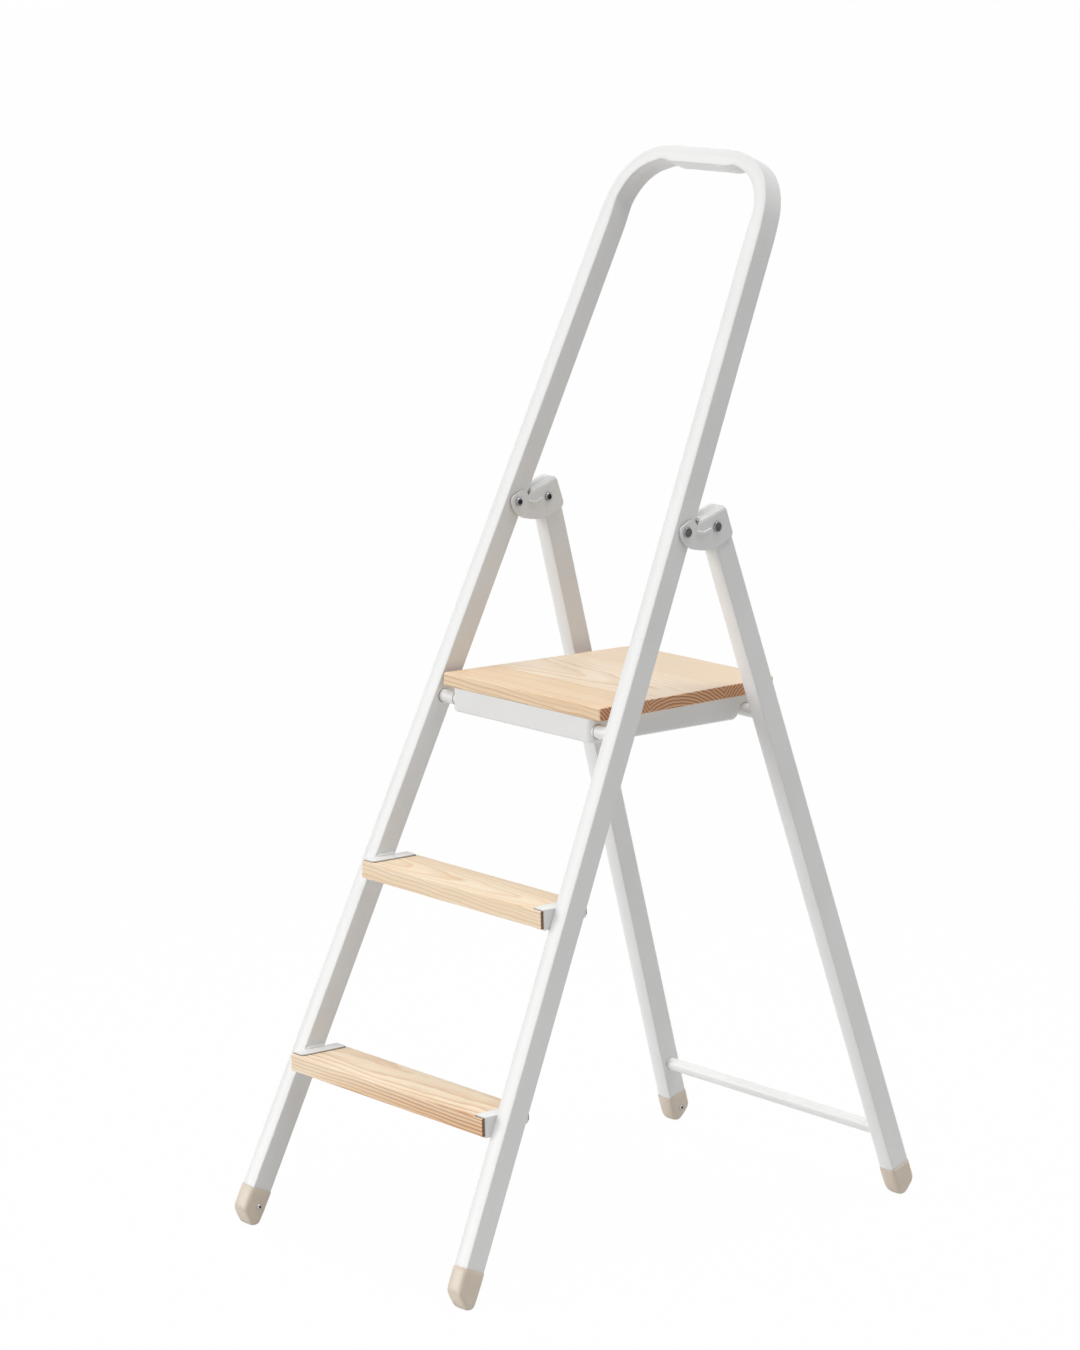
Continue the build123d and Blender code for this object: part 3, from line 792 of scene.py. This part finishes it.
# Screws and discs: a dome has a radius, a height and the radius of its top,
# a recess has a size and a depth, and a rim lists radius and height
cross_arm = 0.36
recess_taper = 0.9
dome_wall = 0.35
head_turns = 96
seat_depth = 0.0003
front_screw_place = (0.03, 0.0038)
rear_screw_place = (0.021, 0.0006)
# The rim under a cross head is a band of painted shadow round its seat
cross_rim = [(0.0043, 0.0), (0.0042, 0.0004)]
cross_dome = (0.0038, 0.0016, 0.0026)
cross_recess = (0.0024, 0.0013)
socket_dome = (0.0056, 0.002, 0.0044)
socket_recess = (0.0041, 0.0017)
disc_rim = [(0.0066, 0.0), (0.0066, 0.0005), (0.0064, 0.0009), (0.006, 0.0012), (0.0056, 0.0013)]
disc_recess = (0.0055, 0.00012)


def circle_at(angle):
    return 1.0


def hexagon_at(angle):
    return math.cos(math.pi / 6) / math.cos((angle % (math.pi / 3)) - math.pi / 6)


def cross_at(angle):
    """Reach of a cross, as a share of the length of its arms."""
    tall = abs(math.sin(angle)) + same_place
    wide = abs(math.cos(angle)) + same_place
    return max(min(1 / wide, cross_arm / tall), min(1 / tall, cross_arm / wide))


def add_head(shape, place, axis, profile, recess_at, recess_form, dark_bands=0):
    """A turned head on an axis; profile gives radius and height from the seat inwards to the recess.
    The walls and floor of the recess and the first bands of the profile take the second material: painted
    shade on the screws, the darkened painted-reflection metal on the discs."""
    size, depth = recess_form
    top = profile[-1][1]
    stations = [(radius, height, circle_at) for radius, height in profile]
    stations.append((size, top, recess_at))
    stations.append((size * recess_taper, top - depth, recess_at))
    rings = []
    for radius, height, outline in stations:
        rings.append(turned_ring(place + axis * height, axis, radius, outline, head_turns))
    start = len(shape.faces)
    loft(shape, rings)
    shape.faces.ensure_lookup_table()
    deep = start + (len(stations) - 2) * head_turns
    for face in shape.faces[start:start + dark_bands * head_turns]:
        face.material_index = 1
    for face in shape.faces[deep:deep + head_turns]:
        face.material_index = 1
    shape.faces[-1].material_index = 1


def dome(radius, height, inner):
    """Profile of a low domed head, from its seat to the ring round the recess."""
    points = [(radius, 0.0), (radius, height * dome_wall)]
    for step in range(1, 7):
        share = step / 6
        reach = radius + (inner - radius) * share
        points.append((reach, height * (dome_wall + (1 - dome_wall) * math.sin(math.pi / 2 * share))))
    return points


def foot_screws(name, legs, place, stands_for):
    """Cross-headed screws on the inner sides of two feet; place is up the leg and back from its middle."""
    height, shift = place
    shape = bmesh.new()
    for leg in legs:
        seat = leg.base + leg.along * height + leg.back * shift
        seat += leg.inward * (tube_half_width + foot_wall - seat_depth)
        profile = cross_rim + dome(*cross_dome)
        add_head(shape, seat, leg.inward, profile, cross_at, cross_recess, len(cross_rim))
    piece = add_piece(name, shape, bright_steel, legs[0].body, (stands_for,))
    # Painted shade in the cross recesses and round the seats
    piece.data.materials.append(recess)


def hinge_heads(word, stands_for_nut, stands_for_screw):
    """Discs on the outer cheeks of the hinge brackets and socket screws on the inner ones."""
    low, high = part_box(stands_for_nut)
    y = (low.y + high.y) / 2
    z = (low.z + high.z) / 2
    bracket_low, bracket_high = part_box("hinge_bracket_right")
    discs = bmesh.new()
    screws = bmesh.new()
    for side in (-1, 1):
        outwards = Vector((side, 0, 0))
        outer = Vector((side * bracket_high.x, y, z))
        add_head(discs, outer, outwards, disc_rim, circle_at, disc_recess)
        inner = Vector((side * bracket_low.x, y, z))
        add_head(screws, inner, -outwards, dome(*socket_dome), hexagon_at, socket_recess)
    piece = add_piece(word + "_discs", discs, screw_metal, "rear", (stands_for_nut,))
    # The disc faces take the darker metal, a painted dark reflection; the rims keep the lighter screw metal
    piece.data.materials.append(disc_dark_reflection_steel)
    piece = add_piece(word + "_socket_screws", screws, screw_metal, "rear", (stands_for_screw,))
    # Painted shade in the hex sockets
    piece.data.materials.append(recess)


# Beads on the hinge brackets: three corners from the pivot, eased into a curve by a share
bead_points = ((0.0155, -0.0002), (0.0269, -0.0035), (0.0402, 0.0016))
bead_curve = 0.25
bead_half_width = 0.0019
bead_height = 0.0015
bead_steps = 24
bead_turns = 24


def bracket_beads():
    """The raised bead, bent like a smile, on both faces of both hinge brackets."""
    low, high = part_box("pivot_barrel_nuts")
    pivot = Vector((0, (low.y + high.y) / 2, (low.z + high.z) / 2))
    bracket_low, bracket_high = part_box("hinge_bracket_right")
    corners = [Vector((0, y, z)) for y, z in bead_points]
    path = []
    for step in range(bead_steps + 1):
        share = step / bead_steps
        first = corners[0].lerp(corners[1], share)
        second = corners[1].lerp(corners[2], share)
        spot = first.lerp(second, share)
        if share < 0.5:
            straight = corners[0].lerp(corners[1], 2 * share)
        else:
            straight = corners[1].lerp(corners[2], 2 * share - 1)
        path.append(pivot + spot * bead_curve + straight * (1 - bead_curve))
    shape = bmesh.new()
    for x, outwards in ((bracket_low.x, -1), (bracket_high.x, 1), (-bracket_low.x, 1), (-bracket_high.x, -1)):
        rings = []
        for step, spot in enumerate(path):
            before = path[max(step - 1, 0)]
            after = path[min(step + 1, len(path) - 1)]
            heading = (after - before).normalized()
            upwards = Vector((0, -heading.z, heading.y))
            size = rounded_end(step, len(path), 3, 0.02)
            ring = []
            for turn in range(bead_turns):
                angle = 2 * math.pi * turn / bead_turns
                lift = bead_height * math.cos(angle) * size * outwards
                spread = bead_half_width * math.sin(angle) * size
                ring.append(spot + Vector((x + lift, 0, 0)) + upwards * spread)
            rings.append(ring)
        loft(shape, rings)
    add_piece("bracket_beads", shape, steel, "rear")


bracket_beads()
front_frames = [LegFrame(-1, True), LegFrame(1, True)]
rear_frames = [LegFrame(-1, False), LegFrame(1, False)]
for word, front_leg, rear_leg in zip(("left", "right"), front_frames, rear_frames):
    foot("front_cup_" + word, front_leg, "front_foot_" + word)
    foot("rear_cup_" + word, rear_leg, "rear_foot_" + word)
    straight_leg("rear_tube_" + word, rear_leg, "rear_leg_" + word)
foot_screws("front_cross_screws", front_frames, front_screw_place, "front_foot_screws")
foot_screws("rear_cross_screws", rear_frames, rear_screw_place, "rear_foot_screws")
hinge_heads("pivot", "pivot_barrel_nuts", "pivot_screws")
hinge_heads("leg", "leg_barrel_nuts", "leg_screws")


# Painted shadows and welds: dark strips of painted shadow beside the flanges and round the pivot bar,
# grey rings of painted soft shadow at the ends of the crossbar, and weld beads on the rails
shadow_strip_width = 0.0012
shadow_strip_rise = 0.00025
flange_facing = -0.99
flange_near = 0.001
weld_radius = 0.0036
weld_inset = 0.001
weld_steps = 13
weld_turns = 20
ring_width = 0.0005
ring_rise = 0.0001
ring_depth = 0.0006
pan_ring_depth = 0.00015
ring_turns = 48


def flange_outline(bracket, level):
    """Corners of the flange that lies on a tread, in order round its middle, grown by the width of the strip
    of painted shadow.
    """
    spots = set()
    source = bmesh.new()
    source.from_mesh(nodes[bracket].data)
    for face in source.faces:
        if face.normal.z < flange_facing and abs(face.calc_center_median().z - level) < flange_near:
            for vert in face.verts:
                spots.add((round(vert.co.x, 6), round(vert.co.y, 6)))
    source.free()
    low_x = min(x for x, y in spots)
    high_x = max(x for x, y in spots)
    low_y = min(y for x, y in spots)
    high_y = max(y for x, y in spots)
    middle_x = (low_x + high_x) / 2
    middle_y = (low_y + high_y) / 2
    grow_x = 1 + 2 * shadow_strip_width / (high_x - low_x)
    grow_y = 1 + 2 * shadow_strip_width / (high_y - low_y)
    outline = []
    for x, y in sorted(spots, key=lambda spot: math.atan2(spot[1] - middle_y, spot[0] - middle_x)):
        outline.append((middle_x + (x - middle_x) * grow_x, middle_y + (y - middle_y) * grow_y))
    return outline


def rail_bead(shape, leg, level):
    """A weld bead along the inner face of a front rail, at one height."""
    rings = []
    for step in range(weld_steps):
        depth = (tube_half_depth - weld_inset) * (2 * step / (weld_steps - 1) - 1)
        start = leg.base + leg.inward * tube_half_width + leg.back * depth
        spot = start + leg.along * ((level - start.z) / leg.along.z)
        size = weld_radius * rounded_end(step, weld_steps, 2, 0.03)
        ring = []
        for turn in range(weld_turns):
            angle = 2 * math.pi * turn / weld_turns
            ring.append(spot + leg.inward * (size * math.cos(angle)) + leg.along * (size * math.sin(angle)))
        rings.append(ring)
    loft(shape, rings)


def tread_details():
    shadow_strips = bmesh.new()
    beads = bmesh.new()
    for tread in ("lower", "upper"):
        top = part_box(tread + "_tread_board")[1].z
        for leg, side in zip(front_frames, ("left", "right")):
            bracket = tread + "_tread_bracket_" + side
            outline = flange_outline(bracket, top)
            rings = []
            for level in (top - shadow_strip_rise, top + shadow_strip_rise):
                rings.append([Vector((x, y, level)) for x, y in outline])
            loft(shadow_strips, rings)
            rail_bead(beads, leg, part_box(bracket)[1].z)
    # Thin dark strips under the flanges' edges: painted shadow of the gap between flange and wood
    add_piece("tread_shadow_strips", shadow_strips, seam_shadow, "front")
    add_piece("tread_weld_beads", beads, steel, "front")


def thin_ring(shape, place, axis, bar_radius, depth):
    """A flat disc round a bar, sunk into the face that the bar comes out of; its colour is painted shadow
    round the bar.
    """
    rings = []
    for along in (-depth, ring_rise):
        rings.append(turned_ring(place + axis * along, axis, bar_radius + ring_width, circle_at, ring_turns))
    loft(shape, rings)


def inner_face_point(leg, y, z):
    """Where a line along x meets the inner face of a leg."""
    start = leg.base + leg.inward * tube_half_width
    away = Vector((0, y, z)) - start
    return Vector((start.x - (away.y * leg.inward.y + away.z * leg.inward.z) / leg.inward.x, y, z))


def bar_details():
    bar_radius = (pivot_high.z - pivot_low.z) / 2
    pan_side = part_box("platform_pan")[1].x
    rail_shadow_rings = bmesh.new()
    pan_shadow_rings = bmesh.new()
    leg_shadow_rings = bmesh.new()
    cross_low, cross_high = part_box("rear_crossbar")
    cross_radius = (cross_high.z - cross_low.z) / 2
    cross_y = (cross_low.y + cross_high.y) / 2
    cross_z = (cross_low.z + cross_high.z) / 2
    for front_leg, rear_leg in zip(front_frames, rear_frames):
        place = inner_face_point(front_leg, pivot_y, pivot_z)
        thin_ring(rail_shadow_rings, place, front_leg.inward, bar_radius, ring_depth)
        outwards = Vector((-front_leg.inward.x, 0, 0)).normalized()
        place = Vector((outwards.x * pan_side, pivot_y, pivot_z))
        thin_ring(pan_shadow_rings, place, outwards, bar_radius, pan_ring_depth)
        place = inner_face_point(rear_leg, cross_y, cross_z)
        thin_ring(leg_shadow_rings, place, rear_leg.inward, cross_radius, ring_depth)
    # Dark rings of painted shadow where the pivot bar passes the rails and the pan
    add_piece("pivot_bar_rail_shadow_rings", rail_shadow_rings, recess, "front")
    add_piece("pivot_bar_pan_shadow_rings", pan_shadow_rings, recess, "platform")
    # Grey rings of painted soft shadow where the crossbar meets the rear legs
    add_piece("crossbar_leg_shadow_rings", leg_shadow_rings, soft_shadow_paint, "rear")


tread_details()
bar_details()

# Finishes of the CAD nodes
finishes = {
    "front_frame_tube": steel,
    "platform_pivot_bar": steel,
    "rear_leg_left": steel,
    "rear_leg_right": steel,
    "rear_crossbar": steel,
    "hook_bar": steel,
    "hinge_bracket_left": steel,
    "hinge_bracket_right": steel,
    "platform_pan": steel,
    "lower_tread_bracket_left": steel,
    "lower_tread_bracket_right": steel,
    "upper_tread_bracket_left": steel,
    "upper_tread_bracket_right": steel,
    "lower_tread_board": lower_wood,
    "upper_tread_board": upper_wood,
    "platform_board": platform_wood,
    "front_foot_left": foot_plastic,
    "front_foot_right": foot_plastic,
    "rear_foot_left": foot_plastic,
    "rear_foot_right": foot_plastic,
    "pivot_barrel_nuts": disc_dark_reflection_steel,
    "leg_barrel_nuts": disc_dark_reflection_steel,
    "pivot_screws": bright_steel,
    "leg_screws": bright_steel,
    "front_foot_screws": bright_steel,
    "rear_foot_screws": bright_steel,
    "tread_screws": bright_steel,
    "platform_screws": bright_steel,
}
for name, finish in finishes.items():
    nodes[name].data.materials.clear()
    nodes[name].data.materials.append(finish)


# Floor, light and camera; the floor is paler near the ladder, like a sheet of paper on a studio floor
floor_size = 60
floor_drop = 0.0005
paper_reach = 0.9
paper_fade = 1.4
floor_grey = srgb(184, 184, 184)
floor_white_share = 0.985
room_light = 0.33
white = (1, 1, 1, 1)


def white_for_camera(tree, plain, bright, target, white_share):
    """Shows the bright shader to the camera and in reflections, and keeps the plain one for the light."""
    path = tree.nodes.new("ShaderNodeLightPath")
    share = path.outputs["Is Camera Ray"]
    for kind in ("Is Glossy Ray", "Is Transmission Ray"):
        either = tree.nodes.new("ShaderNodeMath")
        either.operation = "MAXIMUM"
        tree.links.new(share, either.inputs[0])
        tree.links.new(path.outputs[kind], either.inputs[1])
        share = either.outputs[0]
    part = tree.nodes.new("ShaderNodeMath")
    part.operation = "MULTIPLY"
    tree.links.new(share, part.inputs[0])
    part.inputs[1].default_value = white_share
    mixed = tree.nodes.new("ShaderNodeMixShader")
    tree.links.new(part.outputs[0], mixed.inputs[0])
    tree.links.new(plain.outputs[0], mixed.inputs[1])
    tree.links.new(bright.outputs[0], mixed.inputs[2])
    tree.links.new(mixed.outputs[0], target.inputs["Surface"])


bpy.ops.mesh.primitive_plane_add(size=floor_size, location=(0, 0, -floor_drop))
floor = bpy.context.object
floor.name = "studio_floor"
floor_paint = Shader("floor_white")
floor_nodes = floor_paint.tree.nodes
floor_cloud = floor_paint.noise(floor_paint.place, scale=0.8)
paper = floor_paint.two_tone(floor_cloud, srgb(217, 217, 217), srgb(221, 221, 221))
away = floor_paint.math("SUBTRACT", floor_paint.length(floor_paint.place), paper_reach)
away = floor_paint.math("DIVIDE", away, paper_fade)
away = floor_paint.math("MAXIMUM", floor_paint.math("MINIMUM", away, 1.0), 0.0)
floor_paint.set(Base_Color=floor_paint.mix(away, paper, floor_grey))
floor_paint.set(Roughness=0.9)
glow = floor_nodes.new("ShaderNodeEmission")
glow.inputs["Strength"].default_value = 1.0
floor_end = floor_nodes["Material Output"]
white_for_camera(floor_paint.tree, floor_paint.surface, glow, floor_end, floor_white_share)
floor.data.materials.append(floor_paint.material)

world = bpy.data.worlds.new("studio_white")
scene.world = world
world.use_nodes = True
air = world.node_tree
room = air.nodes["Background"]
room.inputs["Color"].default_value = white
room.inputs["Strength"].default_value = room_light
backdrop = air.nodes.new("ShaderNodeBackground")
backdrop.inputs["Color"].default_value = white
backdrop.inputs["Strength"].default_value = 1.0
white_for_camera(air, room, backdrop, air.nodes["World Output"], 1.0)


def lamp(name, towards, strength, softness):
    data = bpy.data.lights.new(name, "SUN")
    data.energy = strength
    data.angle = math.radians(softness)
    light = bpy.data.objects.new(name, data)
    scene.collection.objects.link(light)
    light.rotation_euler = Vector(towards).to_track_quat("Z", "Y").to_euler()


lamp("key_light", (-0.54, -0.82, 0.2), strength=1.7, softness=45)
lamp("top_light", (0.12, 0.12, 0.98), strength=1.67, softness=35)

lens = bpy.data.cameras.new("photo_camera")
lens.sensor_width = 36
lens.lens = 121.01
lens.shift_x = 0.0425
lens.shift_y = -0.0145
lens.clip_end = 100
camera = bpy.data.objects.new("photo_camera", lens)
scene.collection.objects.link(camera)
camera.location = (4.34522, -3.7615, 1.82714)
aim = Vector((-0.01384, -0.15115, 0.75665)) - camera.location
camera.rotation_euler = aim.to_track_quat("-Z", "Y").to_euler()
scene.camera = camera
